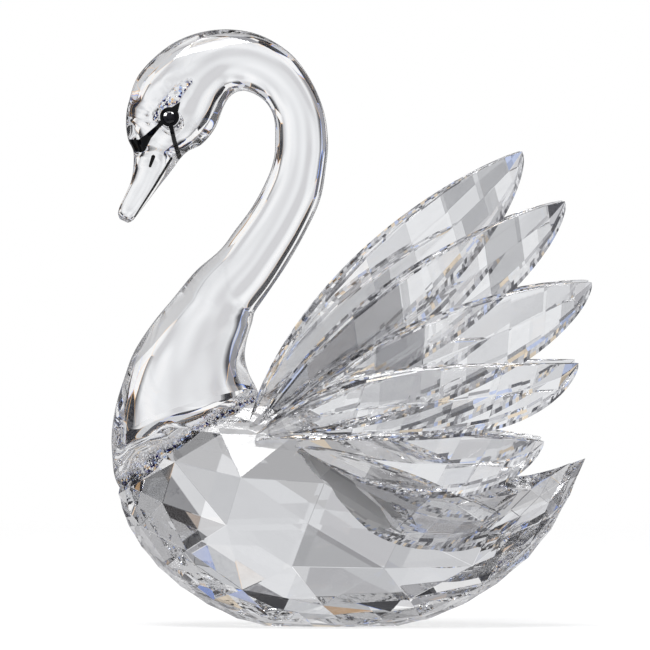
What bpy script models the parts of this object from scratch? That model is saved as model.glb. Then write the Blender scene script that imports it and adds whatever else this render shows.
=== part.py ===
"""Crystal swan figurine: a faceted body, a smooth neck with the head, and two wings of six cut blades.

The swan looks towards -X and stands on z = 0. The plane y = 0 is its plane of symmetry.
"""

import math

import bmesh
import bpy
from mathutils import Vector

MM = 0.001
CEMENT_GAP = 0.3

# Body: sections from the breast to the tail tip, each by its place along the length, its lowest and highest
# level and half its width.
BODY_SECTIONS = (
    (-58.4, 33.0, 33.0, 0.0),
    (-55.8, 25.0, 45.0, 6.8),
    (-49.0, 15.3, 51.5, 12.6),
    (-38.2, 6.6, 56.0, 19.6),
    (-25.0, 0.6, 57.8, 23.2),
    (-10.0, -1.1, 53.5, 24.0),
    (6.0, -0.9, 44.5, 20.6),
    (21.0, 2.3, 38.8, 16.0),
    (34.0, 9.0, 37.0, 11.6),
    (45.0, 18.0, 37.8, 7.4),
    (52.6, 28.8, 40.0, 3.8),
    (58.4, 42.0, 42.0, 0.0),
)
# Each ring of facet corners round the middle of a side, on the unit ball: its angle from that middle, how many
# corners it has, and its turn, in degrees.
BODY_RINGS = ((0.0, 1, 0.0), (24.8, 6, 20.0), (47.7, 12, 5.0), (68.4, 18, 0.0))
BODY_GIRDLE_CORNERS = 36
BODY_FORWARD_LEAN = 0.16
BODY_PLACE = Vector((-15.0, 0.0, 22.0))
FOOT_LEVEL = 0.0

# Neck and head: the front edge, the back edge and half the depth of each section, from the base to the beak.
NECK_SECTIONS = (
    ((-53.0, 28.0), (-26.0, 40.0), 7.5),
    ((-58.8, 35.8), (-23.0, 45.5), 12.8),
    ((-60.0, 43.5), (-22.0, 52.5), 13.6),
    ((-60.0, 49.0), (-23.5, 58.5), 13.8),
    ((-59.0, 55.2), (-25.7, 63.0), 13.6),
    ((-57.0, 61.8), (-26.8, 67.2), 13.2),
    ((-54.5, 68.5), (-26.3, 71.5), 12.4),
    ((-50.0, 75.5), (-25.0, 75.8), 11.2),
    ((-44.5, 82.2), (-24.6, 77.6), 10.0),
    ((-39.0, 88.8), (-24.0, 79.0), 9.1),
    ((-33.0, 94.0), (-20.2, 84.5), 8.4),
    ((-29.2, 99.0), (-16.0, 90.8), 7.8),
    ((-24.8, 105.0), (-11.8, 98.2), 7.3),
    ((-21.2, 111.8), (-8.0, 106.5), 6.9),
    ((-19.5, 117.0), (-6.5, 114.8), 6.6),
    ((-19.2, 122.0), (-6.0, 121.5), 6.5),
    ((-19.5, 127.0), (-7.2, 129.3), 6.4),
    ((-21.2, 130.5), (-10.8, 137.3), 6.4),
    ((-24.0, 132.8), (-16.2, 143.8), 6.6),
    ((-27.2, 133.8), (-24.8, 148.3), 6.9),
    ((-30.0, 132.8), (-35.2, 149.0), 7.4),
    ((-32.0, 130.0), (-45.0, 145.5), 8.2),
    ((-34.2, 124.5), (-53.0, 138.2), 8.8),
    ((-37.5, 120.5), (-55.8, 131.0), 8.4),
    ((-40.8, 118.8), (-56.5, 126.0), 7.3),
    ((-42.8, 117.0), (-56.0, 121.8), 5.9),
    ((-45.0, 114.0), (-54.6, 118.2), 4.9),
    ((-48.3, 109.8), (-55.0, 112.2), 4.2),
    ((-51.3, 105.8), (-56.5, 108.2), 3.8),
    ((-53.5, 103.0), (-58.0, 105.0), 3.3),
    ((-54.8, 101.4), (-58.5, 103.2), 2.4),
    ((-56.0, 100.8), (-58.0, 101.7), 1.0),
)
NECK_STEPS = 2
NECK_SIDES = 24
NECK_PLACE = Vector((-40.0, 0.0, 45.0))

# Eyes: glass beads, half sunk in the sides of the head.
EYE_DIAMETER = 4.7
EYE_PLACE = (-45.5, 6.7, 127.3)
EYE_SEGMENTS = 16
EYE_RINGS = 10

# Feather blades, the uppermost first. A blade's plane is seen from the side, and out is away from the body.
FEATHERS = (
    {"root": (-25.5, 50.2), "tip": (42.3, 118.7), "above": 11.0, "below": 11.5, "arch": 0.0},
    {"root": (-22.5, 50.2), "tip": (52.9, 106.3), "above": 10.2, "below": 11.3, "arch": 0.0},
    {"root": (-20.5, 49.0), "tip": (59.6, 86.2), "above": 9.6, "below": 12.0, "arch": 0.0},
    {"root": (-24.2, 47.8), "tip": (56.2, 66.2), "above": 4.4, "below": 14.2, "arch": 4.6},
    {"root": (-14.0, 46.5), "tip": (47.7, 46.7), "above": 3.0, "below": 14.0, "arch": 0.0},
    {"root": (-13.0, 45.2), "tip": (37.0, 28.5), "above": 3.0, "below": 15.2, "arch": 0.0},
)
# How far each blade lies from the plane of symmetry: at its root, at its tip, and the bow between them.
FEATHER_STANCE = (
    {"root": 14.0, "tip": 13.5, "bow": 1.9, "roll": 0.0},
    {"root": 15.3, "tip": 16.5, "bow": 2.6, "roll": 0.0},
    {"root": 16.8, "tip": 19.5, "bow": 3.3, "roll": 0.0},
    {"root": 18.0, "tip": 22.5, "bow": 4.2, "roll": 0.0},
    {"root": 20.2, "tip": 20.5, "bow": 2.6, "roll": 0.05},
    {"root": 18.8, "tip": 15.5, "bow": 2.9, "roll": 0.10},
)
# A blade's thickness: in the middle, the share of it left at both ends, where it stops thinning and how full it is.
FEATHER_THICKNESS = 4.4
END_THICKNESS = 0.34
THINNING_END = 0.9
THICKNESS_POWER = 0.7
# How far a blade rises in an arch, or bows, along its length: factors that make the greatest rise 1.
ARCH_FACTOR = 27.0 / 4.0
BOW_FACTOR = 4.0
FEATHER_COLUMNS = 6
FEATHER_SLANT = 0.055
FEATHER_CROWDING = 1.35
FEATHER_ROOT_WIDTH = 0.10
UPPER_EDGE_POWERS = (0.8, 0.9)
LOWER_EDGE_POWERS = (0.9, 0.45)
UPPER_BEVEL = 0.24
LOWER_BEVEL = 0.30
SHOULDER_THICKNESS = 0.62
OUTERMOST_FEATHER = 3
# A relief is swollen along the blade's own axes, so it is larger than the gap that it leaves on a slant.
FEATHER_RELIEF = 1.55 * CEMENT_GAP
BODY_RELIEF = 1.15 * CEMENT_GAP

# Finishes.
CRYSTAL_TINT = (0.96, 0.97, 0.98, 1.0)
CRYSTAL_INDEX = 1.56
BLACK = (0.01, 0.01, 0.012, 1.0)
GLASS_ROUGHNESS = 0.04


def clear_scene():
    for obj in list(bpy.data.objects):
        bpy.data.objects.remove(obj, do_unlink=True)


def new_collection(name):
    collection = bpy.data.collections.new(name)
    bpy.context.scene.collection.children.link(collection)
    return collection


def crystal(name):
    material = bpy.data.materials.new(name)
    material.use_nodes = True
    shader = material.node_tree.nodes["Principled BSDF"]
    shader.inputs["Base Color"].default_value = CRYSTAL_TINT
    shader.inputs["Roughness"].default_value = 0.0
    shader.inputs["Metallic"].default_value = 0.0
    shader.inputs["IOR"].default_value = CRYSTAL_INDEX
    shader.inputs["Transmission Weight"].default_value = 1.0
    material.diffuse_color = CRYSTAL_TINT
    return material


def black_glass(name):
    material = bpy.data.materials.new(name)
    material.use_nodes = True
    shader = material.node_tree.nodes["Principled BSDF"]
    shader.inputs["Base Color"].default_value = BLACK
    shader.inputs["Roughness"].default_value = GLASS_ROUGHNESS
    shader.inputs["Metallic"].default_value = 0.0
    material.diffuse_color = BLACK
    return material


def object_from_bmesh(name, mesh_edit, origin, material, collection):
    """The mesh is in millimetres in the swan's frame. The object gets its own origin, and metres."""
    for vertex in mesh_edit.verts:
        vertex.co = (vertex.co - origin) * MM
    bmesh.ops.recalc_face_normals(mesh_edit, faces=mesh_edit.faces)
    mesh = bpy.data.meshes.new(name)
    mesh_edit.to_mesh(mesh)
    mesh_edit.free()
    mesh.materials.append(material)
    obj = bpy.data.objects.new(name, mesh)
    obj.location = origin * MM
    collection.objects.link(obj)
    return obj


def hide_cutter(obj):
    obj.hide_render = True
    obj.display_type = "WIRE"


def cut(obj, cutter):
    modifier = obj.modifiers.new("seat_on_" + cutter.name, "BOOLEAN")
    modifier.operation = "DIFFERENCE"
    modifier.object = cutter


def spline_row(rows, place):
    """The row of numbers at a place between the rows, by Catmull-Rom interpolation."""
    last = len(rows) - 1
    index = min(max(int(place), 0), last - 1)
    t = place - index
    before = rows[max(index - 1, 0)]
    after = rows[min(index + 2, last)]
    row = []
    for a, b, c, d in zip(before, rows[index], rows[index + 1], after):
        bend = (2 * a - 5 * b + 4 * c - d) * t * t + (3 * b - a - 3 * c + d) * t * t * t
        row.append(0.5 * (2 * b + (c - a) * t + bend))
    return row


def body_point(ball_point, swell):
    """Where a point of the unit ball goes on the body: its x picks the section, the rest a way round it."""
    sideways = math.hypot(ball_point.y, ball_point.z)
    along = ball_point.x - BODY_FORWARD_LEAN * sideways * sideways
    place = math.acos(min(max(-along, -1.0), 1.0)) / math.pi * (len(BODY_SECTIONS) - 1)
    x, low, high, half_width = spline_row(BODY_SECTIONS, place)
    x += swell * along
    if sideways < 1e-6:
        return Vector((x, 0.0, (low + high) / 2))
    y = (half_width + swell) * ball_point.y / sideways
    z = (low + high) / 2 + ((high - low) / 2 + swell) * ball_point.z / sideways
    return Vector((x, y, z))


def make_body(name, swell, material, collection):
    """Rings of corners on each side, hulled on a unit ball to give the facets, then set to the body's form."""
    places = []
    for index in range(BODY_GIRDLE_CORNERS):
        angle = index * math.tau / BODY_GIRDLE_CORNERS
        places.append(Vector((math.cos(angle), 0.0, math.sin(angle))))
    for side in (-1.0, 1.0):
        for opening, count, turn in BODY_RINGS:
            reach = math.sin(math.radians(opening))
            depth = side * math.cos(math.radians(opening))
            for index in range(count):
                angle = math.radians(turn) + index * math.tau / count
                places.append(Vector((reach * math.cos(angle), depth, reach * math.sin(angle))))
    mesh_edit = bmesh.new()
    for place in places:
        mesh_edit.verts.new(place)
    bmesh.ops.convex_hull(mesh_edit, input=mesh_edit.verts)
    for vertex in mesh_edit.verts:
        vertex.co = body_point(vertex.co, swell)
    geometry = mesh_edit.verts[:] + mesh_edit.edges[:] + mesh_edit.faces[:]
    foot = Vector((0.0, 0.0, FOOT_LEVEL - swell))
    planed = bmesh.ops.bisect_plane(
        mesh_edit, geom=geometry, plane_co=foot, plane_no=Vector((0.0, 0.0, -1.0)), clear_outer=True
    )
    rim = [item for item in planed["geom_cut"] if isinstance(item, bmesh.types.BMEdge)]
    bmesh.ops.contextual_create(mesh_edit, geom=rim)
    return object_from_bmesh(name, mesh_edit, BODY_PLACE.copy(), material, collection)


def close_tube(mesh_edit, rings):
    """Skins a row of rings of equal count and caps both ends."""
    for ring, following in zip(rings, rings[1:]):
        count = len(ring)
        for index in range(count):
            other = (index + 1) % count
            mesh_edit.faces.new((ring[index], ring[other], following[other], following[index]))
    mesh_edit.faces.new(rings[0])
    mesh_edit.faces.new(rings[-1])


def make_neck_and_head(material, collection):
    rows = [(*front, *back, depth) for front, back, depth in NECK_SECTIONS]
    mesh_edit = bmesh.new()
    rings = []
    for step in range((len(rows) - 1) * NECK_STEPS + 1):
        front_x, front_z, back_x, back_z, depth = spline_row(rows, step / NECK_STEPS)
        middle = Vector(((front_x + back_x) / 2, 0.0, (front_z + back_z) / 2))
        reach = Vector(((front_x - back_x) / 2, 0.0, (front_z - back_z) / 2))
        ring = []
        for index in range(NECK_SIDES):
            angle = index * math.tau / NECK_SIDES
            point = middle + reach * math.cos(angle) + Vector((0.0, depth * math.sin(angle), 0.0))
            ring.append(mesh_edit.verts.new(point))
        rings.append(ring)
    close_tube(mesh_edit, rings)
    neck = object_from_bmesh("neck_and_head", mesh_edit, NECK_PLACE, material, collection)
    neck.data.shade_smooth()
    return neck


def make_ball(name, diameter, side, material, collection):
    bpy.ops.mesh.primitive_uv_sphere_add(
        segments=EYE_SEGMENTS, ring_count=EYE_RINGS, radius=diameter * MM / 2
    )
    ball = bpy.context.object
    ball.name = name
    ball.data.name = name
    x, y, z = EYE_PLACE
    ball.location = Vector((x, side * y, z)) * MM
    ball.data.materials.append(material)
    ball.data.shade_smooth()
    for owner in list(ball.users_collection):
        owner.objects.unlink(ball)
    collection.objects.link(ball)
    return ball


def edge_share(t, powers):
    """Width of a leaf at t along it, as a share of its greatest width."""
    rise, fall = powers
    widest = rise / (rise + fall)
    highest = widest**rise * (1.0 - widest) ** fall
    t = min(max(t, 0.0), 1.0)
    share = t**rise * (1.0 - t) ** fall / highest
    root = FEATHER_ROOT_WIDTH * (1.0 - t) ** 4
    return max(share, root)


class Feather:
    """The measures of one blade on one side of the swan."""

    def __init__(self, number, side, swell):
        shape = FEATHERS[number]
        self.side = side
        self.swell = swell
        self.root = Vector(shape["root"])
        self.tip = Vector(shape["tip"])
        self.along = (self.tip - self.root).normalized()
        self.across = Vector((-self.along.y, self.along.x))
        self.root -= self.along * swell
        self.tip += self.along * swell
        self.above = shape["above"]
        self.below = shape["below"]
        self.arch = shape["arch"]
        self.stance = FEATHER_STANCE[number]

    def edge(self, t, upper):
        """Offset of an edge from the line between root and tip."""
        arch = self.arch * ARCH_FACTOR * t * (1.0 - t) ** 2
        if upper:
            return arch + self.above * edge_share(t, UPPER_EDGE_POWERS) + self.swell
        return arch - self.below * edge_share(t, LOWER_EDGE_POWERS) - self.swell

    def half_thickness(self, t):
        fullness = math.sin(math.pi * min(t / THINNING_END, 1.0)) ** THICKNESS_POWER
        full = FEATHER_THICKNESS / 2 * (END_THICKNESS + (1.0 - END_THICKNESS) * fullness)
        return full + self.swell

    def point(self, t, offset, thickness):
        """A point at t along the blade, offset across it, and thickness out from its middle surface."""
        flat = self.root.lerp(self.tip, t) + self.across * offset
        stance = self.stance
        spine = 0.5 * (self.edge(t, True) + self.edge(t, False))
        out = stance["root"] + (stance["tip"] - stance["root"]) * t
        out += stance["bow"] * BOW_FACTOR * t * (1.0 - t)
        out += stance["roll"] * (spine - offset) + thickness
        return Vector((flat.x, self.side * out, flat.y))


def make_feather(name, number, side, swell, material, collection):
    """Two rows of slanted facets on each face, and a bevel of slender facets down each edge."""
    blade = Feather(number, side, swell)
    mesh_edit = bmesh.new()
    count = FEATHER_COLUMNS
    edges = {}
    for upper in (True, False):
        slant = FEATHER_SLANT if upper else -FEATHER_SLANT
        line = []
        for index in range(2 * count + 1):
            share = 1.0 - (1.0 - index / (2 * count)) ** FEATHER_CROWDING
            t = share + 2.0 * slant * math.sin(math.pi * share) * (1.0 - share)
            line.append(mesh_edit.verts.new(blade.point(t, blade.edge(t, upper), 0.0)))
        edges[upper] = line
    bmesh.ops.remove_doubles(mesh_edit, verts=[edges[True][-1], edges[False][-1]], dist=1e-3)
    tip = next(line[-1] for line in edges.values() if line[-1].is_valid)
    edges[True][-1] = tip
    edges[False][-1] = tip

    for face in (-1.0, 1.0):
        lines = {}
        for row, bevel in (("upper", UPPER_BEVEL), ("spine", None), ("lower", LOWER_BEVEL)):
            line = []
            for index in range(count):
                share = 1.0 - (1.0 - index / count) ** FEATHER_CROWDING
                slant = {"upper": FEATHER_SLANT, "spine": 0.0, "lower": -FEATHER_SLANT}[row]
                t = share + slant * math.sin(math.pi * share)
                high = blade.edge(t, True)
                low = blade.edge(t, False)
                spine = 0.5 * (high + low)
                thick = face * blade.half_thickness(t)
                if row == "spine":
                    place = spine
                else:
                    edge = high if row == "upper" else low
                    place = edge + (spine - edge) * bevel
                    thick *= SHOULDER_THICKNESS
                line.append(mesh_edit.verts.new(blade.point(t, place, thick)))
            lines[row] = line
        for first, second in (("upper", "spine"), ("spine", "lower")):
            for index in range(count - 1):
                corners = (lines[first][index], lines[first][index + 1])
                others = (lines[second][index + 1], lines[second][index])
                mesh_edit.faces.new(corners + others)
            mesh_edit.faces.new((lines[first][-1], tip, lines[second][-1]))
        for row, upper in (("upper", True), ("lower", False)):
            shoulder = lines[row] + [tip]
            edge = edges[upper]
            for index in range(count - 1):
                near, middle, far = edge[2 * index : 2 * index + 3]
                mesh_edit.faces.new((shoulder[index], near, middle))
                mesh_edit.faces.new((shoulder[index], middle, shoulder[index + 1]))
                mesh_edit.faces.new((shoulder[index + 1], middle, far))
            near, middle = edge[2 * count - 2 : 2 * count]
            mesh_edit.faces.new((shoulder[count - 1], near, middle))
            mesh_edit.faces.new((shoulder[count - 1], middle, tip))
        blade_root = (edges[True][0], lines["upper"][0], lines["spine"][0], lines["lower"][0], edges[False][0])
        mesh_edit.faces.new(blade_root)
    start = blade.point(0.0, 0.0, 0.0)
    return object_from_bmesh(name, mesh_edit, start, material, collection)


def make_wing(side, side_name, material, body_cutter, parts, cutters):
    """The blades lie edge over edge. The outermost is whole, and each other one is relieved for its neighbour."""
    for number in range(len(FEATHERS)):
        name = f"feather_{side_name}_{number + 1}"
        blade = make_feather(name, number, side, 0.0, material, parts)
        cut(blade, body_cutter)
        if number == OUTERMOST_FEATHER:
            continue
        towards = 1 if number < OUTERMOST_FEATHER else -1
        relief_name = f"relief_{side_name}_{number + 1}"
        relief = make_feather(relief_name, number + towards, side, FEATHER_RELIEF, material, cutters)
        hide_cutter(relief)
        cut(blade, relief)


def main():
    clear_scene()
    parts = new_collection("crystal_swan")
    cutters = new_collection("cutters")
    clear = crystal("clear_crystal")
    black = black_glass("black_glass")

    make_body("body", 0.0, clear, parts)
    body_cutter = make_body("body_relief", BODY_RELIEF, clear, cutters)
    hide_cutter(body_cutter)

    neck = make_neck_and_head(clear, parts)
    cut(neck, body_cutter)
    for side, side_name in ((-1.0, "left"), (1.0, "right")):
        make_ball(f"eye_{side_name}", EYE_DIAMETER, side, black, parts)
        socket = make_ball(f"socket_{side_name}", EYE_DIAMETER + 2 * CEMENT_GAP, side, black, cutters)
        hide_cutter(socket)
        cut(neck, socket)
        make_wing(side, side_name, clear, body_cutter, parts, cutters)


main()
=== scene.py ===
"""The looks of the crystal swan: cut blades and body, smooth neck, black mask and eyes, in a white studio."""

import math
import random

import bmesh
import bpy
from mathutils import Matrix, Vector
from mathutils.bvhtree import BVHTree


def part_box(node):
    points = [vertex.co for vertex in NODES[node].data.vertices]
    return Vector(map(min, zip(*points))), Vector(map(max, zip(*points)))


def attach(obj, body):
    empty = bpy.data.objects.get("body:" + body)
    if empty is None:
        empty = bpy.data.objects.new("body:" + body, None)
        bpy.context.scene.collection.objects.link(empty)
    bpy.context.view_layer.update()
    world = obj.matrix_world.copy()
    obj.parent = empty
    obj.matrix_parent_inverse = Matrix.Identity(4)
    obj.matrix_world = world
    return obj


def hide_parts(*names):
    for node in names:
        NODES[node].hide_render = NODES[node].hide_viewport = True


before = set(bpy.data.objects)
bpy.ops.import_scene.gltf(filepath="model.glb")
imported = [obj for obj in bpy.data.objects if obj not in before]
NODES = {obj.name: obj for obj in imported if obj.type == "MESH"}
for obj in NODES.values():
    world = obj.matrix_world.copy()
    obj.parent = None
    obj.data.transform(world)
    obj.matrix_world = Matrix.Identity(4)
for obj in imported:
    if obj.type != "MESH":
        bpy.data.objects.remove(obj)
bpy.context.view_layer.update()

MM = 0.001
CEMENT_GAP = 0.3
MERGE = 1e-6
FLAT_ANGLE = math.radians(1.0)

# Neck and head: the front edge, the back edge and half the depth of each section in millimetres, from the base.
NECK_SECTIONS = (
    ((-53.0, 28.0), (-26.0, 40.0), 7.5),
    ((-58.8, 35.8), (-23.0, 45.5), 12.8),
    ((-60.0, 43.5), (-22.0, 52.5), 13.6),
    ((-60.0, 49.0), (-23.5, 58.5), 13.8),
    ((-59.0, 55.2), (-25.7, 63.0), 13.6),
    ((-57.0, 61.8), (-26.8, 67.2), 13.2),
    ((-54.5, 68.5), (-26.3, 71.5), 12.4),
    ((-50.0, 75.5), (-25.0, 75.8), 11.2),
    ((-44.5, 82.2), (-24.6, 77.6), 10.0),
    ((-39.0, 88.8), (-24.0, 79.0), 9.1),
    ((-33.0, 94.0), (-20.2, 84.5), 8.4),
    ((-29.2, 99.0), (-16.0, 90.8), 7.8),
    ((-24.8, 105.0), (-11.8, 98.2), 7.3),
    ((-21.2, 111.8), (-8.0, 106.5), 6.9),
    ((-19.5, 117.0), (-6.5, 114.8), 6.6),
    ((-19.2, 122.0), (-6.0, 121.5), 6.5),
    ((-19.5, 127.0), (-7.2, 129.3), 6.4),
    ((-21.2, 130.5), (-10.8, 137.3), 6.4),
    ((-24.0, 132.8), (-16.2, 143.8), 6.6),
    ((-27.2, 133.8), (-24.8, 148.3), 6.9),
    ((-30.0, 132.8), (-35.2, 148.9), 7.4),
    ((-32.0, 130.0), (-45.0, 145.5), 8.2),
    ((-34.2, 124.5), (-53.0, 138.2), 8.8),
    ((-37.5, 120.5), (-55.8, 131.0), 8.4),
    ((-40.8, 118.8), (-56.5, 126.0), 7.3),
    ((-42.8, 117.0), (-56.0, 121.8), 5.9),
    ((-45.0, 114.0), (-54.6, 118.2), 4.9),
    ((-48.3, 109.8), (-55.0, 112.2), 4.2),
    ((-51.3, 105.8), (-56.5, 108.2), 3.8),
    ((-53.5, 103.0), (-58.0, 105.0), 3.3),
    ((-54.8, 101.4), (-58.5, 103.2), 2.4),
    ((-56.0, 100.8), (-58.0, 101.7), 1.0),
)
HEAD_START = 19
NECK_STEPS = 6
HEAD_STEPS = 14
NECK_SIDES = 96

# Blades, the uppermost first. Root and tip are seen from the side, and out is the distance from the middle plane.
BLADES = (
    {"root": (-25.5, 50.2), "tip": (42.3, 118.7), "above": 11.0, "below": 11.5, "arch": 0.0,
     "root_out": 14.0, "tip_out": 13.5, "bow": 1.9, "roll": 0.0},
    {"root": (-22.5, 50.2), "tip": (52.9, 106.3), "above": 10.2, "below": 11.3, "arch": 0.0,
     "root_out": 15.3, "tip_out": 16.5, "bow": 2.6, "roll": 0.0},
    {"root": (-20.5, 49.0), "tip": (59.5, 86.2), "above": 9.6, "below": 12.0, "arch": 0.0,
     "root_out": 16.8, "tip_out": 19.5, "bow": 3.3, "roll": 0.0},
    {"root": (-24.2, 47.8), "tip": (56.2, 66.2), "above": 4.4, "below": 14.2, "arch": 4.6,
     "root_out": 18.0, "tip_out": 22.5, "bow": 4.2, "roll": 0.0},
    {"root": (-14.0, 46.5), "tip": (47.7, 46.7), "above": 3.0, "below": 14.0, "arch": 0.0,
     "root_out": 20.2, "tip_out": 20.5, "bow": 2.6, "roll": 0.05},
    {"root": (-13.0, 45.2), "tip": (37.0, 28.5), "above": 3.0, "below": 15.2, "arch": 0.0,
     "root_out": 18.8, "tip_out": 15.5, "bow": 2.9, "roll": 0.10},
)
OUTERMOST_BLADE = 3
BLADE_THICKNESS = 4.4
END_THICKNESS = 0.34
THINNING_END = 0.9
THICKNESS_POWER = 0.7
THINNEST_HALF = 0.3
BLADE_COLUMNS = 8
FINE_COLUMNS = 12
LONG_CUT = 6.0
TIP_CUTS = 0.8
BLADE_CROWDING = 1.35
ROOT_WIDTH = 0.10
ROOT_POWER = 4.0
UPPER_EDGE_POWERS = (0.8, 0.9)
LOWER_EDGE_POWERS = (0.9, 0.66)
UPPER_BEVEL = 0.20
LOWER_BEVEL = 0.36
ARCH_FACTOR = 27.0 / 4.0
BOW_FACTOR = 4.0
BLADE_RELIEF = 1.55 * CEMENT_GAP
BODY_RELIEF = 1.15 * CEMENT_GAP
FACET_SLANT = 0.55
FACET_FALL = 0.13
FACET_WAVE = 0.36
WAVE_STEP = 2.3
WAVE_BETWEEN_FACES = 1.9
WAVE_BETWEEN_BLADES = 1.3
SLIVER_WANDER = 0.25
# Painted shade: the cuts along a blade's edge get darker tones.
EDGE_PAINTED_SHADE = 0.5
BLADE_MERGE = 2e-6
BLADE_FLAT_ANGLE = math.radians(0.3)
FIRST_BLADE_SEED = 17

# The glint attribute of a facet picks its painted tone, painted shade and painted warm and cool fringes in place of
# what refraction shows: a small cut has a value under 1 and a large facet one over 1.
SMALL_GLINTS = (0.02, 0.99)
BLADE_GLINTS = (1.12, 2.0)
BODY_GLINTS = (1.04, 1.52)

# Camera: the photograph is 650 pixels wide, at a quarter of a millimetre to a pixel.
PHOTO_PIXELS = 650
PIXEL_SIZE = 0.25 * MM
PHOTO_CENTRE = Vector((-6.75, 0.0, 75.25)) * MM
CAMERA_DISTANCE = 3.0
CAMERA_ELEVATION = math.radians(1.0)
SENSOR_WIDTH = 36.0
CLIP_RANGE = (0.01, 50.0)

FLOOR_NEAR = 0.25
FLOOR_FAR = 0.8
FLOOR_UNDER_GLASS = 0.13
FLOOR_SHADOW = 0.25
FLOOR_COLOUR = (0.92, 0.92, 0.92, 1.0)
FLOOR_SIDES = 96
FLOOR_THROUGH_GLASS = (0.64, 0.64, 0.65, 1.0)


class Term:
    """A socket's output. Arithmetic on it adds Math nodes."""

    def __init__(self, tree, socket):
        self.tree = tree
        self.socket = socket

    def math(self, operation, *others):
        node = self.tree.nodes.new("ShaderNodeMath")
        node.operation = operation
        for slot, item in zip(node.inputs, (self, *others)):
            plug(self.tree, slot, item)
        return Term(self.tree, node.outputs[0])

    def __add__(self, other):
        return self.math("ADD", other)

    __radd__ = __add__

    def __sub__(self, other):
        return self.math("SUBTRACT", other)

    def __rsub__(self, other):
        return (self * -1.0) + other

    def __mul__(self, other):
        return self.math("MULTIPLY", other)

    __rmul__ = __mul__

    def __truediv__(self, other):
        return self.math("DIVIDE", other)

    def __pow__(self, other):
        return self.math("POWER", other)

    def __gt__(self, other):
        return self.math("GREATER_THAN", other)

    def __lt__(self, other):
        return self.math("LESS_THAN", other)

    def at_most(self, other):
        return self.math("MINIMUM", other)

    def at_least(self, other):
        return self.math("MAXIMUM", other)

    def held(self):
        """Kept between 0 and 1."""
        return self.at_least(0.0).at_most(1.0)


def plug(tree, slot, item):
    if isinstance(item, Term):
        tree.links.new(item.socket, slot)
    else:
        slot.default_value = item


def blend(first, second, share):
    return first + (second - first) * share


class Graph:
    """A node tree of a material, the world or a modifier."""

    def __init__(self, tree):
        self.tree = tree
        self.tree.nodes.clear()

    def add(self, kind, settings=None, out=0, **sockets):
        """Adds a node: first its settings, then the values or links of its sockets, by name or as i and a number."""
        node = self.tree.nodes.new(kind)
        for name, value in (settings or {}).items():
            if name == "stops":
                set_stops(node.color_ramp, value)
            elif name == "step":
                node.color_ramp.interpolation = "CONSTANT"
            else:
                setattr(node, name, value)
        for name, item in sockets.items():
            numbered = name[0] == "i" and name[1:].isdigit()
            slot = node.inputs[int(name[1:])] if numbered else node.inputs[name.replace("_", " ")]
            plug(self.tree, slot, item)
        return Term(self.tree, node.outputs[out]) if node.outputs else node

    def parts(self, vector):
        node = self.tree.nodes.new("ShaderNodeSeparateXYZ")
        plug(self.tree, node.inputs[0], vector)
        return [Term(self.tree, output) for output in node.outputs]

    def place(self):
        return self.add("ShaderNodeTexCoord", out="Object")

    def colours(self, share, first, second):
        return self.add("ShaderNodeMix", {"data_type": "RGBA"}, out=2, i0=share, i6=first, i7=second)

    def chance(self, low, high, seed, number):
        """A random value from low to high, the same one for the same seed and number."""
        return self.add(
            "FunctionNodeRandomValue", {"data_type": "FLOAT"}, out=1, i2=low, i3=high, Seed=seed, ID=number
        )


def set_stops(ramp, stops):
    while len(ramp.elements) < len(stops):
        ramp.elements.new(0.5)
    for element, (position, tone) in zip(ramp.elements, stops):
        element.position = position
        element.color = (*tone, 1.0)


def new_material(name):
    material = bpy.data.materials.new(name)
    material.use_nodes = True
    return material, Graph(material.node_tree)


CRYSTAL_INDEX = 1.56
HAZE_SCALE = 220.0
HAZE_ROUGHNESS = 0.006
CLEAR = (1.0, 1.0, 1.0, 1.0)
UNCUT = 0.001

# Painted shade and painted warm and cool fringes of the small cuts, from dark to clear.
PAINTED_GLINT_TONES = (
    (0.0, (0.03, 0.03, 0.035)),
    (0.08, (0.18, 0.18, 0.19)),
    (0.19, (0.48, 0.48, 0.50)),
    (0.33, (1.0, 0.74, 0.46)),
    (0.37, (0.46, 0.58, 1.0)),
    (0.41, (0.78, 0.78, 0.80)),
    (0.52, (1.0, 1.0, 1.0)),
)
# Painted shade of the large facets, from grey to clear.
PAINTED_FACET_SHADE = (
    (0.0, (0.22, 0.22, 0.225)),
    (0.05, (0.42, 0.42, 0.43)),
    (0.24, (0.68, 0.68, 0.69)),
    (0.48, (1.0, 1.0, 1.0)),
)
# Painted shade and painted warm and cool fringes of the fine cuts on the neck and head.
PAINTED_SPECK_TONES = (
    (0.0, (0.0, 0.0, 0.01)),
    (0.20, (0.10, 0.10, 0.22)),
    (0.30, (1.0, 0.55, 0.2)),
    (0.36, (0.25, 0.42, 1.0)),
    (0.43, (0.45, 0.45, 0.47)),
    (0.56, (1.0, 1.0, 1.0)),
)


def crystal_shader(graph, place, colour, normal=None):
    """Polished crystal. Faint polish marks vary its roughness."""
    haze = graph.add("ShaderNodeTexNoise", Vector=place, Scale=HAZE_SCALE, Detail=2.0)
    sockets = {"Normal": normal} if normal else {}
    return graph.add(
        "ShaderNodeBsdfPrincipled", Base_Color=colour, Roughness=haze * HAZE_ROUGHNESS, IOR=CRYSTAL_INDEX,
        Transmission_Weight=1.0, **sockets
    )


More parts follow.
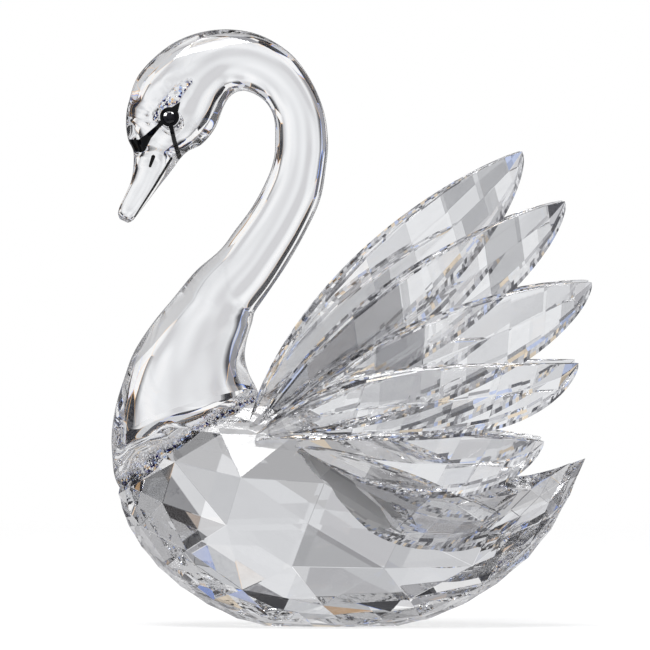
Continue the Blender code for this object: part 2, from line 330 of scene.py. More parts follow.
def cut_crystal():
    """Each facet is tinted by its glint attribute with painted shade and painted warm and cool fringes, on its outer
    side only.
    """
    material, graph = new_material("cut_crystal")
    chance = graph.add("ShaderNodeAttribute", {"attribute_name": "glint"}, out="Fac")
    inside = graph.add("ShaderNodeNewGeometry", out="Backfacing")
    small = graph.add("ShaderNodeValToRGB", {"stops": PAINTED_GLINT_TONES, "step": True}, Fac=chance)
    large = graph.add("ShaderNodeValToRGB", {"stops": PAINTED_FACET_SHADE, "step": True}, Fac=chance - 1.0)
    painted_tones = graph.colours(chance > 1.0, small, large)
    colour = graph.colours((chance > UNCUT) * (1.0 - inside), CLEAR, painted_tones)
    shader = crystal_shader(graph, graph.place(), colour)
    graph.add("ShaderNodeOutputMaterial", Surface=shader)
    return material


ENAMEL_TONES = ((0.3, (0.001, 0.001, 0.0015)), (0.7, (0.003, 0.003, 0.004)))
ENAMEL_GRAIN = 900.0
ENAMEL_BUMP = 0.05 * MM
ENAMEL_BUMP_STRENGTH = 0.05
ENAMEL_ROUGHNESS = (0.01, 0.04)
ENAMEL_INDEX = 1.5


def enamel_shader(graph, place):
    """Glossy black, with the slight unevenness of fired enamel."""
    grain = graph.add("ShaderNodeTexNoise", Vector=place, Scale=ENAMEL_GRAIN, Detail=3.0)
    colour = graph.add("ShaderNodeValToRGB", {"stops": ENAMEL_TONES}, Fac=grain)
    bump = graph.add("ShaderNodeBump", Strength=ENAMEL_BUMP_STRENGTH, Distance=ENAMEL_BUMP, Height=grain)
    return graph.add(
        "ShaderNodeBsdfPrincipled", Base_Color=colour, Roughness=blend(*ENAMEL_ROUGHNESS, grain),
        IOR=ENAMEL_INDEX, Normal=bump
    )


def black_glass():
    material, graph = new_material("black_glass")
    graph.add("ShaderNodeOutputMaterial", Surface=enamel_shader(graph, graph.place()))
    return material


# The black mask in the side view, as strokes in millimetres: start, end and the half width at each.
MASK_STROKES = (
    ((-55.2, 120.2), 1.5, (-52.8, 120.0), 1.6),
    ((-52.8, 120.0), 1.6, (-50.6, 122.6), 0.75),
    ((-50.6, 122.6), 0.8, (-48.3, 124.9), 0.5),
    ((-48.3, 124.9), 0.5, (-47.3, 126.0), 0.7),
    ((-45.1, 124.8), 0.55, (-44.3, 121.2), 0.55),
    ((-44.3, 121.2), 0.55, (-43.1, 117.2), 0.6),
    ((-45.5, 127.3), 2.42, (-45.5, 127.25), 2.42),
    ((-45.5, 127.25), 1.9, (-42.9, 130.9), 0.1),
    ((-49.6, 117.3), 0.5, (-50.4, 115.0), 0.35),
    ((-45.1, 116.9), 0.32, (-49.2, 110.2), 0.28),
    ((-49.2, 110.2), 0.28, (-54.3, 102.3), 0.18),
)
MASK_EDGE = 0.10
CHIPS = 1600.0
CHIP_DEPTH = 0.3 * MM
LEAST_SPECK = 0.4
SPECK_GAIN = 1.6


def stroke(x, z, start, start_width, end, end_width):
    """1 inside a tapered stroke of the side view and 0 outside it."""
    run = (end[0] - start[0], end[1] - start[1])
    length = run[0] ** 2 + run[1] ** 2
    across = x - start[0]
    up = z - start[1]
    share = ((across * run[0] + up * run[1]) / length).held()
    aside = ((across - share * run[0]) ** 2.0 + (up - share * run[1]) ** 2.0) ** 0.5
    width = blend(start_width, end_width, share)
    return ((width - aside) / MASK_EDGE + 0.5).held()


def neck_crystal():
    """Crystal with fine cuts where the piece's cuts attribute says, bumped and tinted with painted dark specks and
    painted fringes, and the enamel mask round the beak.

    The enamel lies on the outside. From within the crystal its thin backing lets the light through.
    """
    material, graph = new_material("neck_crystal")
    place = graph.place()
    x, y, z = graph.parts(place)
    x, z = x / MM, z / MM
    mask = stroke(x, z, *MASK_STROKES[0])
    for form in MASK_STROKES[1:]:
        mask = mask.at_least(stroke(x, z, *form))
    inside = graph.add("ShaderNodeNewGeometry", out="Backfacing")
    cuts = graph.add("ShaderNodeAttribute", {"attribute_name": "cuts"}, out="Fac") * (1.0 - inside)
    chips = graph.add("ShaderNodeTexVoronoi", out="Distance", Vector=place, Scale=CHIPS)
    chance = graph.parts(graph.add("ShaderNodeTexVoronoi", out="Color", Vector=place, Scale=CHIPS))[0]
    bump = graph.add("ShaderNodeBump", Strength=1.0, Distance=CHIP_DEPTH, Height=chips * cuts)
    # Painted shade and fringes: specks from dark to clear where the cuts lie.
    speck = chance * blend(LEAST_SPECK, 1.0, cuts)
    painted_tones = graph.add("ShaderNodeValToRGB", {"stops": PAINTED_SPECK_TONES, "step": True}, Fac=speck)
    crystal = crystal_shader(graph, place, graph.colours((cuts * SPECK_GAIN).held(), CLEAR, painted_tones), bump)
    enamel = enamel_shader(graph, place)
    shader = graph.add("ShaderNodeMixShader", i0=mask * (1.0 - inside), i1=crystal, i2=enamel)
    graph.add("ShaderNodeOutputMaterial", Surface=shader)
    return material


def mesh_object(name, mesh, *materials):
    piece = bpy.data.objects.new(name, mesh)
    bpy.context.scene.collection.objects.link(piece)
    piece.data.materials.clear()
    for material in materials:
        piece.data.materials.append(material)
    return piece


def object_from(name, mesh_edit, *materials):
    mesh = bpy.data.meshes.new(name)
    mesh_edit.to_mesh(mesh)
    mesh_edit.free()
    return mesh_object(name, mesh, *materials)


def merged_node(node):
    """A copy of a CAD node's mesh with its corners joined."""
    mesh_edit = bmesh.new()
    mesh_edit.from_mesh(NODES[node].data)
    bmesh.ops.remove_doubles(mesh_edit, verts=mesh_edit.verts, dist=MERGE)
    return mesh_edit


def applied(piece):
    """Turns what the modifiers make of a piece into its mesh."""
    graph = bpy.context.evaluated_depsgraph_get()
    mesh = bpy.data.meshes.new_from_object(piece.evaluated_get(graph))
    piece.modifiers.clear()
    old = piece.data
    piece.data = mesh
    bpy.data.meshes.remove(old)
    return piece


def place_in_swan(piece, node):
    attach(piece, "root")
    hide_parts(node)
    return piece


def cut_away(piece, *cutters):
    for cutter in cutters:
        modifier = piece.modifiers.new("seat", "BOOLEAN")
        modifier.operation = "DIFFERENCE"
        modifier.object = cutter
    applied(piece)


def swollen(node, gap):
    """A cutter in the form of a CAD node, grown by the gap in millimetres."""
    mesh_edit = merged_node(node)
    bmesh.ops.dissolve_limit(
        mesh_edit, angle_limit=FLAT_ANGLE, verts=mesh_edit.verts, edges=mesh_edit.edges
    )
    mesh_edit.normal_update()
    moves = [(vertex, vertex.normal * gap * MM * vertex.calc_shell_factor()) for vertex in mesh_edit.verts]
    for vertex, move in moves:
        vertex.co += move
    return object_from(node + "_relief", mesh_edit)


# Inputs of the blade tree. Side is -1 on the left and 1 on the right, and swell grows a blade into a cutter.
BLADE_SIZES = ("Root X", "Root Z", "Tip X", "Tip Z", "Above", "Below", "Arch", "Root Out", "Tip Out", "Bow",
               "Roll", "Side", "Swell", "Wave", "Phase")
CUT_ROWS = 4
QUARTER = CUT_ROWS + 1
RING = 4 * QUARTER

# A hair of a column or row, to tell which side of a line a corner lies on.
NUDGE = 0.01

# Long cuts and facets are numbered along each row, and each row starts this much higher than the one before.
CUT_NUMBERS_A_ROW = 500.0
FACET_NUMBERS_A_ROW = 50.0


def leaf_share(t, powers):
    """Width of a leaf at t along it, as a share of its greatest width."""
    rise, fall = powers
    widest = rise / (rise + fall)
    highest = widest**rise * (1.0 - widest) ** fall
    share = t**rise * (1.0 - t) ** fall / highest
    return share.at_least((1.0 - t) ** ROOT_POWER * ROOT_WIDTH)


class BladeForm:
    """A cut blade: columns of sections along it, each a ring of corners from the upper edge round to itself."""

    def __init__(self, graph, size):
        self.graph = graph
        self.size = size
        grid_x, grid_y, flat = graph.parts(graph.add("GeometryNodeInputPosition"))
        fine_column = (grid_x + 0.5) * (BLADE_COLUMNS * FINE_COLUMNS)
        self.column = (grid_x + 0.5) * BLADE_COLUMNS
        self.row = (grid_y + 0.5) * RING
        self.at_tip = grid_x > 0.5 - TIP_CUTS / BLADE_COLUMNS
        self.index = graph.add("GeometryNodeInputIndex")
        self.long_cut = (fine_column / LONG_CUT).math("FLOOR") + (self.row + NUDGE).math("FLOOR") * CUT_NUMBERS_A_ROW

        corner = self.row.math("ROUND")
        from_top = corner.at_most(RING - corner)
        self.upper = from_top < QUARTER - 0.5
        self.face = (2.0 * QUARTER - corner).math("SIGN")
        self.from_spine = (QUARTER - from_top).math("ABSOLUTE")
        self.inward = ((QUARTER - self.from_spine) / CUT_ROWS).at_most(1.0)

        run_x = size["Tip X"] - size["Root X"]
        run_z = size["Tip Z"] - size["Root Z"]
        length = (run_x * run_x + run_z * run_z) ** 0.5
        self.along_x = run_x / length
        self.along_z = run_z / length
        self.start_x = size["Root X"] - self.along_x * size["Swell"]
        self.start_z = size["Root Z"] - self.along_z * size["Swell"]
        self.reach = length + 2.0 * size["Swell"]

    def line_and_edge(self, t):
        """The middle line and this corner's edge at t along the blade, as offsets from the chord."""
        arch = self.size["Arch"] * ARCH_FACTOR * t * (1.0 - t) * (1.0 - t)
        high = arch + self.size["Above"] * leaf_share(t, UPPER_EDGE_POWERS) + self.size["Swell"]
        low = arch - self.size["Below"] * leaf_share(t, LOWER_EDGE_POWERS) - self.size["Swell"]
        return (high + low) * 0.5, blend(low, high, self.upper)

    def stance(self, share):
        """How far out the middle line stands."""
        straight = blend(self.size["Root Out"], self.size["Tip Out"], share)
        return straight + self.size["Bow"] * BOW_FACTOR * share * (1.0 - share)

    def half_thickness(self, share, column, aside):
        fullness = (share / THINNING_END).at_most(1.0) * math.pi
        full = fullness.math("SINE").at_least(0.0) ** THICKNESS_POWER
        half = (END_THICKNESS + full * (1.0 - END_THICKNESS)) * (BLADE_THICKNESS / 2) + self.size["Swell"]
        wave = column * WAVE_STEP + self.face * WAVE_BETWEEN_FACES + self.size["Phase"]
        half = half * (1.0 - self.size["Wave"] * (wave.math("SINE") * 0.5 + 0.5))
        fall = aside.math("ABSOLUTE") * FACET_FALL
        return (half - fall).at_least(THINNEST_HALF) * (column < BLADE_COLUMNS - 0.5)

    def swan_place(self, run, offset, out):
        place_x = self.start_x + self.along_x * run - self.along_z * offset
        place_z = self.start_z + self.along_z * run + self.along_x * offset
        return place_x, out * self.size["Side"], place_z

    def facet_corner(self, column):
        """A corner of the main facets. All cross lines of a row are parallel, which keeps its facets flat."""
        share = crowded(column)
        spine, edge = self.line_and_edge(share)
        bevel = blend(LOWER_BEVEL, UPPER_BEVEL, self.upper)
        aside = (edge - spine) * (1.0 - bevel) * (self.from_spine > 0.5)
        thickness = self.half_thickness(share, column, aside)
        out = self.stance(share) - self.size["Roll"] * aside + self.face * thickness
        return self.swan_place(share * self.reach + aside * FACET_SLANT, spine + aside, out)

    def edge_corner(self, column):
        share = crowded(column)
        spine, edge = self.line_and_edge(share)
        aside = edge - spine
        t = (share + aside * FACET_SLANT / self.reach).held()
        out = self.stance(share) - self.size["Roll"] * aside
        return self.swan_place(t * self.reach, self.line_and_edge(t)[1], out)

    def corner_place(self):
        """Each corner's place: on a main facet, on the edge, or on a cut between them that wanders a little."""
        between = (self.inward > 0.1) * (self.inward < 0.9)
        between = between * (self.column > NUDGE) * (self.column < BLADE_COLUMNS - NUDGE)
        column = self.column + between * (self.from_spine.math("MODULO", 2.0) * 0.5 / FINE_COLUMNS)
        first = column.math("FLOOR").at_most(BLADE_COLUMNS - 1.0)
        share = column - first
        cut = blend(self.index, self.long_cut, self.from_spine < CUT_ROWS - 0.5)
        wander = self.graph.chance(-SLIVER_WANDER, SLIVER_WANDER, self.size["Seed"], cut)
        outward = self.inward * (1.0 + between * wander)
        corners = zip(self.facet_corner(first), self.facet_corner(first + 1.0), self.edge_corner(column))
        place_x, place_y, place_z = [
            blend(edge, blend(near, far, share), inward) * MM
            for (near, far, edge), inward in zip(corners, (self.inward, outward, self.inward))
        ]
        return self.graph.add("ShaderNodeCombineXYZ", X=place_x, Y=place_y, Z=place_z)

    def glint(self):
        """Each face's value, which picks its painted tone: large facets in the middle, long cuts, and small ones
        along the edges and at the tip, darker at the edge.
        """
        facet_number = self.column.math("FLOOR") + self.row.math("FLOOR") * FACET_NUMBERS_A_ROW
        fine, long, facet = [
            self.graph.chance(*SMALL_GLINTS, self.size["Seed"], number)
            for number in (self.index, self.long_cut, facet_number)
        ]
        cut_line = (QUARTER - self.row.at_most(RING - self.row)).math("ABSOLUTE")
        fine = fine * (1.0 - (cut_line > CUT_ROWS) * EDGE_PAINTED_SHADE)
        small = blend(long, fine, cut_line > CUT_ROWS - 1.0)
        return blend(blend(*BLADE_GLINTS, facet), small, (cut_line > 1.0).at_least(self.at_tip))


def crowded(column):
    """The share of the blade's length at a column. The columns crowd towards the tip."""
    return 1.0 - (1.0 - column / BLADE_COLUMNS).at_least(0.0) ** BLADE_CROWDING


def blade_inputs(tree):
    """Names what the tree is given and what it makes, and hands back what it is given."""
    kinds = {name: "NodeSocketFloat" for name in BLADE_SIZES}
    kinds.update({"Seed": "NodeSocketInt", "Crystal": "NodeSocketMaterial"})
    for name, kind in kinds.items():
        tree.interface.new_socket(name=name, in_out="INPUT", socket_type=kind)
    tree.interface.new_socket(name="Blade", in_out="OUTPUT", socket_type="NodeSocketGeometry")
    inlet = tree.nodes.new("NodeGroupInput")
    return {name: Term(tree, inlet.outputs[name]) for name in kinds}


def blade_tree():
    """The Geometry Nodes tree that every blade is cut with."""
    tree = bpy.data.node_groups.new("cut_blade", "GeometryNodeTree")
    graph = Graph(tree)
    size = blade_inputs(tree)
    form = BladeForm(graph, size)
    grid = graph.add(
        "GeometryNodeMeshGrid", Size_X=1.0, Size_Y=1.0, Vertices_X=BLADE_COLUMNS * FINE_COLUMNS + 1,
        Vertices_Y=RING + 1
    )
    marked = graph.add(
        "GeometryNodeStoreNamedAttribute", {"data_type": "FLOAT", "domain": "FACE"}, Geometry=grid, Name="glint",
        Value=form.glint()
    )
    moved = graph.add("GeometryNodeSetPosition", Geometry=marked, Position=form.corner_place())
    closed = graph.add("GeometryNodeMergeByDistance", Geometry=moved, Distance=BLADE_MERGE)
    real = graph.add("GeometryNodeRealizeInstances", Geometry=closed)
    finished = graph.add("GeometryNodeSetMaterial", Geometry=real, Material=size["Crystal"])
    outlet = tree.nodes.new("NodeGroupOutput")
    plug(tree, outlet.inputs["Blade"], finished)
    return tree


def blade_blank(tree, name, number, side, swell, material):
    """One blade from the tree, as a closed mesh with its flat facets joined."""
    form = BLADES[number]
    holder = mesh_object(name, bpy.data.meshes.new(name))
    modifier = holder.modifiers.new("cut_blade", "NODES")
    modifier.node_group = tree
    values = {
        "Root X": form["root"][0], "Root Z": form["root"][1], "Tip X": form["tip"][0], "Tip Z": form["tip"][1],
        "Above": form["above"], "Below": form["below"], "Arch": form["arch"], "Root Out": form["root_out"],
        "Tip Out": form["tip_out"], "Bow": form["bow"], "Roll": form["roll"], "Side": side, "Swell": swell,
        "Wave": 0.0 if swell else FACET_WAVE, "Phase": WAVE_BETWEEN_BLADES * number,
        "Seed": FIRST_BLADE_SEED + number, "Crystal": material,
    }
    for socket in tree.interface.items_tree:
        if socket.in_out == "INPUT":
            modifier[socket.identifier] = values[socket.name]
    applied(holder)
    mesh_edit = bmesh.new()
    mesh_edit.from_mesh(holder.data)
    bmesh.ops.dissolve_degenerate(mesh_edit, dist=MERGE, edges=mesh_edit.edges)
    open_edges = [edge for edge in mesh_edit.edges if edge.is_boundary]
    bmesh.ops.holes_fill(mesh_edit, edges=open_edges)
    bmesh.ops.recalc_face_normals(mesh_edit, faces=mesh_edit.faces)
    bmesh.ops.dissolve_limit(
        mesh_edit, angle_limit=BLADE_FLAT_ANGLE, verts=mesh_edit.verts, edges=mesh_edit.edges
    )
    mesh_edit.to_mesh(holder.data)
    mesh_edit.free()
    return holder


def wing(tree, side, side_name, body_relief, material):
    """Six blades, edge over edge. The outermost is whole, and each other one is relieved for its neighbour."""
    for number in range(len(BLADES)):
        node = f"feather_{side_name}_{number + 1}"
        blade = blade_blank(tree, node + "_cut", number, side, 0.0, material)
        cutters = [body_relief]
        if number != OUTERMOST_BLADE:
            towards = 1 if number < OUTERMOST_BLADE else -1
            cutters.append(blade_blank(tree, node + "_relief", number + towards, side, BLADE_RELIEF, material))
        cut_away(blade, *cutters)
        for cutter in cutters[1:]:
            bpy.data.objects.remove(cutter)
        place_in_swan(blade, node)


def spline_row(rows, place):
    """The row of numbers at a place between the rows, by Catmull-Rom interpolation."""
    last = len(rows) - 1
    index = min(max(int(place), 0), last - 1)
    t = place - index
    before = rows[max(index - 1, 0)]
    after = rows[min(index + 2, last)]
    row = []
    for a, b, c, d in zip(before, rows[index], rows[index + 1], after):
        bend = (2 * a - 5 * b + 4 * c - d) * t * t + (3 * b - a - 3 * c + d) * t * t * t
        row.append(0.5 * (2 * b + (c - a) * t + bend))
    return row


def neck_surface():
    """The closed skin of the neck and head, ring by ring, with finer rings on the head."""
    rows = [(*front, *back, depth) for front, back, depth in NECK_SECTIONS]
    last = len(rows) - 1
    places = [step / NECK_STEPS for step in range(HEAD_START * NECK_STEPS)]
    places += [HEAD_START + step / HEAD_STEPS for step in range((last - HEAD_START) * HEAD_STEPS + 1)]
    mesh_edit = bmesh.new()
    rings = []
    for place in places:
        front_x, front_z, back_x, back_z, depth = spline_row(rows, place)
        middle = Vector((front_x + back_x, 0.0, front_z + back_z)) * 0.5
        reach = Vector((front_x - back_x, 0.0, front_z - back_z)) * 0.5
        ring = []
        for index in range(NECK_SIDES):
            angle = index * math.tau / NECK_SIDES
            offset = reach * math.cos(angle) + Vector((0.0, depth * math.sin(angle), 0.0))
            ring.append(mesh_edit.verts.new((middle + offset) * MM))
        rings.append(ring)
    for ring, following in zip(rings, rings[1:]):
        for index in range(NECK_SIDES):
            other = (index + 1) % NECK_SIDES
            mesh_edit.faces.new((ring[index], ring[other], following[other], following[index]))
    mesh_edit.faces.new(rings[0])
    mesh_edit.faces.new(rings[-1])
    bmesh.ops.recalc_face_normals(mesh_edit, faces=mesh_edit.faces)
    return mesh_edit


def stroke_share(x, z, start, start_width, end, end_width, softness):
    """As stroke, for a point given by numbers: 1 well inside, 0 outside."""
    run = (end[0] - start[0], end[1] - start[1])
    share = ((x - start[0]) * run[0] + (z - start[1]) * run[1]) / (run[0] ** 2 + run[1] ** 2)
    share = min(max(share, 0.0), 1.0)
    aside = math.hypot(x - start[0] - share * run[0], z - start[1] - share * run[1])
    width = start_width + (end_width - start_width) * share
    return min(max((width - aside) / softness, 0.0), 1.0)


# Relief of the head in the side view: strokes in millimetres and the depth that each is cut.
BROW_STROKES = (
    ((-49.2, 125.8), 0.5, (-49.1, 127.5), 0.75),
    ((-49.1, 127.5), 0.75, (-47.5, 129.9), 0.95),
    ((-47.5, 129.9), 0.95, (-44.6, 132.1), 1.9),
    ((-44.6, 132.1), 1.9, (-42.3, 134.5), 1.45),
    ((-42.3, 134.5), 1.45, (-40.5, 135.9), 0.7),
    ((-40.5, 135.9), 0.7, (-39.5, 136.4), 0.2),
)
NOSTRIL = ((-49.5, 117.4), 0.7, (-50.5, 114.9), 0.5)
MANDIBLE = (
    ((-46.0, 115.4), 0.42, (-49.2, 110.2), 0.36),
    ((-49.2, 110.2), 0.36, (-54.3, 102.3), 0.22),
)
BROW_DEPTH = 0.35
BROW_BORDER = 0.2
BROW_SOFTNESS = 0.5
BROW_LEAST_OUT = 2.0
NOSTRIL_DEPTH = 0.1
NOSTRIL_SOFTNESS = 0.5
MANDIBLE_DEPTH = 0.18
MANDIBLE_SOFTNESS = 0.25
MANDIBLE_LEAST_OUT = 0.4
HEAD_HEIGHT = 100.0
# Along the neck's outline a faint share of fine cuts, bumped and with painted dark specks.
NECK_RIM_FACING = 0.32
NECK_RIM_SOFTNESS = 0.15
NECK_RIM_CUTS = 0.1
RELIEF_SEED = 11


def deepest(x, z, strokes, softness):
    """The greatest share of the strokes at a point of the side view."""
    return max(stroke_share(x, z, *form, softness) for form in strokes)


def cut_head_relief(mesh_edit):
    """Cuts the brow, the nostrils and the line of the beak into the skin, and marks where fine cuts with painted dark
    specks lie.
    """
    draw = random.Random(RELIEF_SEED)
    mesh_edit.normal_update()
    cuts = mesh_edit.verts.layers.float.new("cuts")
    moves = []
    for vertex in mesh_edit.verts:
        x = vertex.co.x / MM
        z = vertex.co.z / MM
        chance = draw.random()
        depth = 0.0
        brow = deepest(x, z, BROW_STROKES, BROW_SOFTNESS)
        brow *= 1.0 - deepest(x, z, MASK_STROKES, MASK_EDGE)
        if abs(vertex.co.y) > BROW_LEAST_OUT * MM and z > HEAD_HEIGHT:
            depth += brow * BROW_DEPTH * chance + BROW_BORDER * math.sin(math.pi * brow)
            depth += stroke_share(x, z, *NOSTRIL, NOSTRIL_SOFTNESS) * NOSTRIL_DEPTH
        if abs(vertex.co.y) > MANDIBLE_LEAST_OUT * MM and z > HEAD_HEIGHT:
            depth += deepest(x, z, MANDIBLE, MANDIBLE_SOFTNESS) * MANDIBLE_DEPTH
        rim = min(max((NECK_RIM_FACING - abs(vertex.normal.y)) / NECK_RIM_SOFTNESS, 0.0), 1.0)
        vertex[cuts] = max(brow, NECK_RIM_CUTS * rim)
        moves.append((vertex, vertex.normal * -depth * MM))
    for vertex, move in moves:
        vertex.co += move


# The ribbon of fine cuts along the seat, bumped and with painted dark specks.
SEAM_RIBBON = 1.9
SEAM_STRENGTH = 1.3
SHARP_ANGLE = math.radians(24)


def mark_seam(piece, body):
    """Marks the fine cuts of the ribbon along the seat on the body, which also carry painted dark specks."""
    edit = bmesh.new()
    edit.from_mesh(body)
    near_body = BVHTree.FromBMesh(edit)
    edit.free()
    values = piece.data.attributes["cuts"].data
    for vertex, value in zip(piece.data.vertices, values):
        found = near_body.find_nearest(vertex.co)
        away = found[3] / MM if found[0] else SEAM_RIBBON
        value.value = max(value.value, min(SEAM_STRENGTH - away / SEAM_RIBBON, 1.0), 0.0)


def neck_and_head(body_relief, body_mesh, material):
    mesh_edit = neck_surface()
    cut_head_relief(mesh_edit)
    piece = object_from("neck_and_head_smooth", mesh_edit, material)
    sockets = [swollen("eye_" + side, CEMENT_GAP / 2) for side in ("left", "right")]
    cut_away(piece, body_relief, *sockets)
    for socket in sockets:
        bpy.data.objects.remove(socket)
    mark_seam(piece, body_mesh)
    piece.data.shade_smooth()
    piece.data.set_sharp_from_angle(angle=SHARP_ANGLE)
    return place_in_swan(piece, "neck_and_head")


EYE_SIDES = 48
EYE_RINGS = 28


def eye_bead(side, material):
    low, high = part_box("eye_" + side)
    centre = (low + high) / 2
    mesh_edit = bmesh.new()
    bmesh.ops.create_uvsphere(
        mesh_edit, u_segments=EYE_SIDES, v_segments=EYE_RINGS, radius=(high.x - low.x) / 2
    )
    for vertex in mesh_edit.verts:
        vertex.co += centre
    piece = object_from(f"eye_{side}_bead", mesh_edit, material)
    piece.data.shade_smooth()
    return place_in_swan(piece, "eye_" + side)


RIM_FACING = 0.62
RIM_WANDER = 0.16
SMALL_CUT_SHARE = 0.5
TAIL_START = 36.0
EDGE_LINE = 0.18
FOOT_FACING = -0.99
FOOT_MARGIN = 0.4
BODY_SEED = 5


def is_outer(face):
    """True for a facet near the body's outline or on its tail."""
    return abs(face.normal.y) < RIM_FACING or face.calc_center_median().x > TAIL_START * MM


def cut_outer_facets(mesh_edit, draw):
    """Cuts the outer facets, apart from the foot, again into slender ones."""
    foot = min(vertex.co.z for vertex in mesh_edit.verts)
    rim = [face for face in mesh_edit.faces if face.normal.z > FOOT_FACING and is_outer(face)]
    edges = [edge for edge in mesh_edit.edges if any(face in rim for face in edge.link_faces)]
    made = bmesh.ops.subdivide_edges(mesh_edit, edges=edges, cuts=1, use_grid_fill=True)
    for item in made["geom_inner"]:
        if isinstance(item, bmesh.types.BMVert) and item.co.z > foot + FOOT_MARGIN * MM:
            item.co -= item.normal * draw.uniform(0.0, RIM_WANDER) * MM
    mesh_edit.normal_update()


def cut_edge_lines(mesh_edit):
    """Cuts a fine line along each edge between calm facets, and hands back the faces of the lines."""
    calm_edges = [
        edge for edge in mesh_edit.edges if all(abs(face.normal.y) > RIM_FACING for face in edge.link_faces)
    ]
    bevelled = bmesh.ops.bevel(
        mesh_edit, geom=calm_edges, offset=EDGE_LINE * MM / 2, segments=1, affect="EDGES", clamp_overlap=False
    )
    mesh_edit.normal_update()
    return set(bevelled["faces"])


def faceted_body(material):
    """The solid's facets, with fine lines between the calm ones and slender cuts near the outline, each facet but the
    lines with a painted tone.
    """
    mesh_edit = merged_node("body")
    bmesh.ops.dissolve_limit(
        mesh_edit, angle_limit=FLAT_ANGLE, verts=mesh_edit.verts, edges=mesh_edit.edges
    )
    mesh_edit.normal_update()
    draw = random.Random(BODY_SEED)
    cut_outer_facets(mesh_edit, draw)
    lines = cut_edge_lines(mesh_edit)
    # Painted shade: about half of the outer facets get the tones of small cuts, dark, fringed or clear, and the
    # others the grey tones of large facets.
    glint = mesh_edit.faces.layers.float.new("glint")
    for face in mesh_edit.faces:
        if face not in lines:
            slender = is_outer(face) and draw.random() < SMALL_CUT_SHARE
            face[glint] = draw.uniform(*SMALL_GLINTS) if slender else draw.uniform(*BODY_GLINTS)
    bmesh.ops.triangulate(mesh_edit, faces=[face for face in mesh_edit.faces if len(face.verts) > 3])
    piece = object_from("body_cut", mesh_edit, material)
    return place_in_swan(piece, "body")


def floor():
    """A pale round floor that fades into the white room well away from the swan. Glass sees it greyer."""
    material, graph = new_material("pale_floor")
    x, y, z = graph.parts(graph.place())
    far = (x * x + y * y) ** 0.5
    board = graph.add("ShaderNodeBsdfDiffuse", Color=FLOOR_COLOUR)
    glow = graph.add("ShaderNodeEmission", Color=CLEAR, Strength=1.0)
    seen = graph.add("ShaderNodeMixShader", i0=FLOOR_SHADOW, i1=glow, i2=board)
    nothing = graph.add("ShaderNodeBsdfTransparent")
    through = graph.add("ShaderNodeEmission", Color=FLOOR_THROUGH_GLASS, Strength=1.0)
    direct = graph.add("ShaderNodeLightPath", out="Is Camera Ray")
    wide = ((far - FLOOR_NEAR) / (FLOOR_FAR - FLOOR_NEAR)).held()
    tight = (far > FLOOR_UNDER_GLASS).held()
    faded = graph.add("ShaderNodeMixShader", i0=wide, i1=seen, i2=nothing)
    under = graph.add("ShaderNodeMixShader", i0=tight, i1=through, i2=nothing)
    shader = graph.add("ShaderNodeMixShader", i0=direct, i1=under, i2=faded)
    graph.add("ShaderNodeOutputMaterial", Surface=shader)
    mesh_edit = bmesh.new()
    bmesh.ops.create_circle(mesh_edit, cap_ends=True, segments=FLOOR_SIDES, radius=FLOOR_FAR)
    object_from("floor", mesh_edit, material)


WARM = (1.15, 0.72, 0.36, 1.0)
COOL = (0.30, 0.48, 1.15, 1.0)
CARD_TONES = (
    (0.0, (0.015, 0.015, 0.02)),
    (0.30, (0.10, 0.10, 0.11)),
    (0.44, (0.32, 0.32, 0.34)),
    (0.56, (0.66, 0.67, 0.69)),
    (0.74, (1.0, 1.0, 1.0)),
)
PANEL_TONES = (
    (0.30, (0.66, 0.66, 0.68)),
    (0.44, (0.80, 0.81, 0.83)),
    (0.56, (0.90, 0.91, 0.93)),
    (0.70, (0.97, 0.97, 0.98)),
)
PANEL_GRAIN = 4.5
CARD_SCALE = 4.6
RIM_WIDTH = 0.045
RIM_CHANCE = 0.5
PANEL_EDGE = 0.79
PANEL_SOFTNESS = 0.06
END_PANEL_EDGE = 0.13
MIRRORED = 0.3


def studio():
    """White room. Through glass it is pale panels on four sides, and cards, some with fringed rims, between them.

    Mirrored on glass it is dimmer, so that the enamel stays black.
    """
    world = bpy.data.worlds.new("studio")
    bpy.context.scene.world = world
    world.use_nodes = True
    graph = Graph(world.node_tree)
    look = graph.add("ShaderNodeTexCoord", out="Generated")
    x, y, z = graph.parts(look)
    chance, side, other = graph.parts(graph.add("ShaderNodeTexVoronoi", out="Color", Vector=look, Scale=CARD_SCALE))
    rim = graph.add("ShaderNodeTexVoronoi", {"feature": "DISTANCE_TO_EDGE"}, Vector=look, Scale=CARD_SCALE)
    cards = graph.add("ShaderNodeValToRGB", {"stops": CARD_TONES, "step": True}, Fac=chance)
    fringe = graph.colours(side > 0.5, WARM, COOL)
    fringed = graph.colours((1.0 - rim / RIM_WIDTH).held() * (other > RIM_CHANCE), cards, fringe)
    drift = graph.add("ShaderNodeTexNoise", Vector=look, Scale=PANEL_GRAIN, Detail=0.0)
    panel = graph.add("ShaderNodeValToRGB", {"stops": PANEL_TONES}, Fac=drift)
    facing = (x.math("ABSOLUTE") - END_PANEL_EDGE).at_least(y.math("ABSOLUTE"))
    calm = ((facing - PANEL_EDGE) / PANEL_SOFTNESS).held()
    seen = graph.colours(calm, fringed, panel)
    glass_room = graph.add("ShaderNodeBackground", Color=seen, Strength=1.0)
    room = graph.add("ShaderNodeBackground", Color=CLEAR, Strength=1.0)
    mirrored = graph.add("ShaderNodeBackground", Color=seen, Strength=MIRRORED)
    glossy = graph.add("ShaderNodeLightPath", out="Is Glossy Ray")
    through = graph.add("ShaderNodeLightPath", out="Is Transmission Ray")
    direct = graph.add("ShaderNodeLightPath", out="Is Camera Ray")
    shader = graph.add("ShaderNodeMixShader", i0=glossy * (1.0 - through), i1=glass_room, i2=mirrored)
    shader = graph.add("ShaderNodeMixShader", i0=direct, i1=shader, i2=room)
    graph.add("ShaderNodeOutputWorld", Surface=shader)


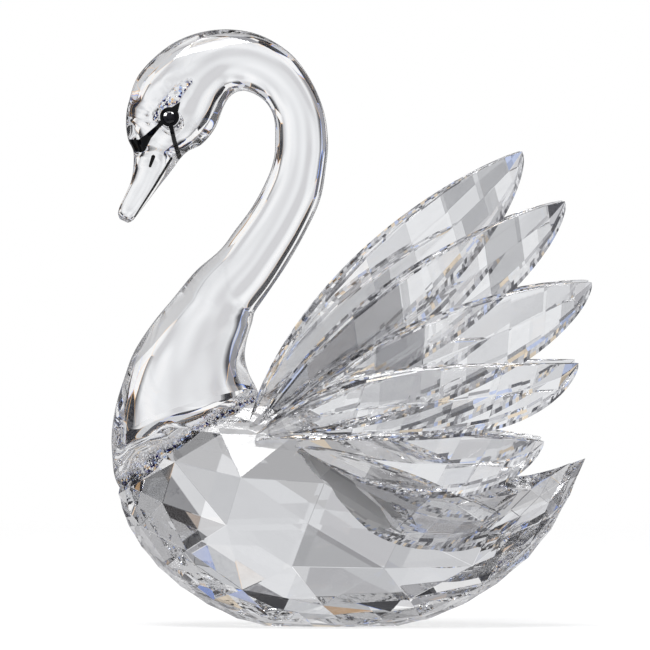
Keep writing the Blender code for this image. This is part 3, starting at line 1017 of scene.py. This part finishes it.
# Lights: name, place, size and power. The catch lights, placed here on the swan's right, show in the eyes only.
OVERHEAD_LIGHT = ("overhead", (-0.2, -0.3, 1.2), 0.8, 22.0)
CATCH_LIGHTS = (
    ("catch_front", (-0.36, 0.19, 0.31), 0.24, 12.0),
    ("catch_back", (0.17, 0.16, 0.43), 0.20, 8.0),
)


def soft_light(name, place, size, power):
    lamp = bpy.data.lights.new(name, "AREA")
    lamp.size = size
    lamp.energy = power
    light = bpy.data.objects.new(name, lamp)
    light.location = place
    light.rotation_euler = (PHOTO_CENTRE - Vector(place)).to_track_quat("-Z", "Y").to_euler()
    light.visible_transmission = False
    bpy.context.scene.collection.objects.link(light)
    return light


def camera():
    lens = bpy.data.cameras.new("camera")
    lens.sensor_width = SENSOR_WIDTH
    lens.lens = SENSOR_WIDTH * CAMERA_DISTANCE / (PHOTO_PIXELS * PIXEL_SIZE)
    lens.clip_start, lens.clip_end = CLIP_RANGE
    eye = bpy.data.objects.new("camera", lens)
    back = Vector((0.0, -math.cos(CAMERA_ELEVATION), math.sin(CAMERA_ELEVATION)))
    eye.location = PHOTO_CENTRE + back * CAMERA_DISTANCE
    eye.rotation_euler = (math.pi / 2 - CAMERA_ELEVATION, 0.0, 0.0)
    bpy.context.scene.collection.objects.link(eye)
    bpy.context.scene.camera = eye


GLASS_BOUNCES = 24
MIRROR_BOUNCES = 16


def render_look():
    scene = bpy.context.scene
    scene.view_settings.view_transform = "Standard"
    scene.cycles.max_bounces = GLASS_BOUNCES
    scene.cycles.transmission_bounces = GLASS_BOUNCES
    scene.cycles.glossy_bounces = MIRROR_BOUNCES


def main():
    camera()
    studio()
    soft_light(*OVERHEAD_LIGHT)
    floor()
    crystal = cut_crystal()
    black = black_glass()
    body = faceted_body(crystal)
    body_relief = swollen("body", BODY_RELIEF)
    neck_and_head(body_relief, body.data, neck_crystal())
    tree = blade_tree()
    eyes = bpy.data.collections.new("eyes")
    for side, side_name in ((-1.0, "left"), (1.0, "right")):
        eyes.objects.link(eye_bead(side_name, black))
        wing(tree, side, side_name, body_relief, crystal)
        for name, (x, y, z), size, power in CATCH_LIGHTS:
            light = soft_light(f"{name}_{side_name}", (x, side * y, z), size, power)
            light.light_linking.receiver_collection = eyes
    bpy.data.objects.remove(body_relief)
    render_look()


main()
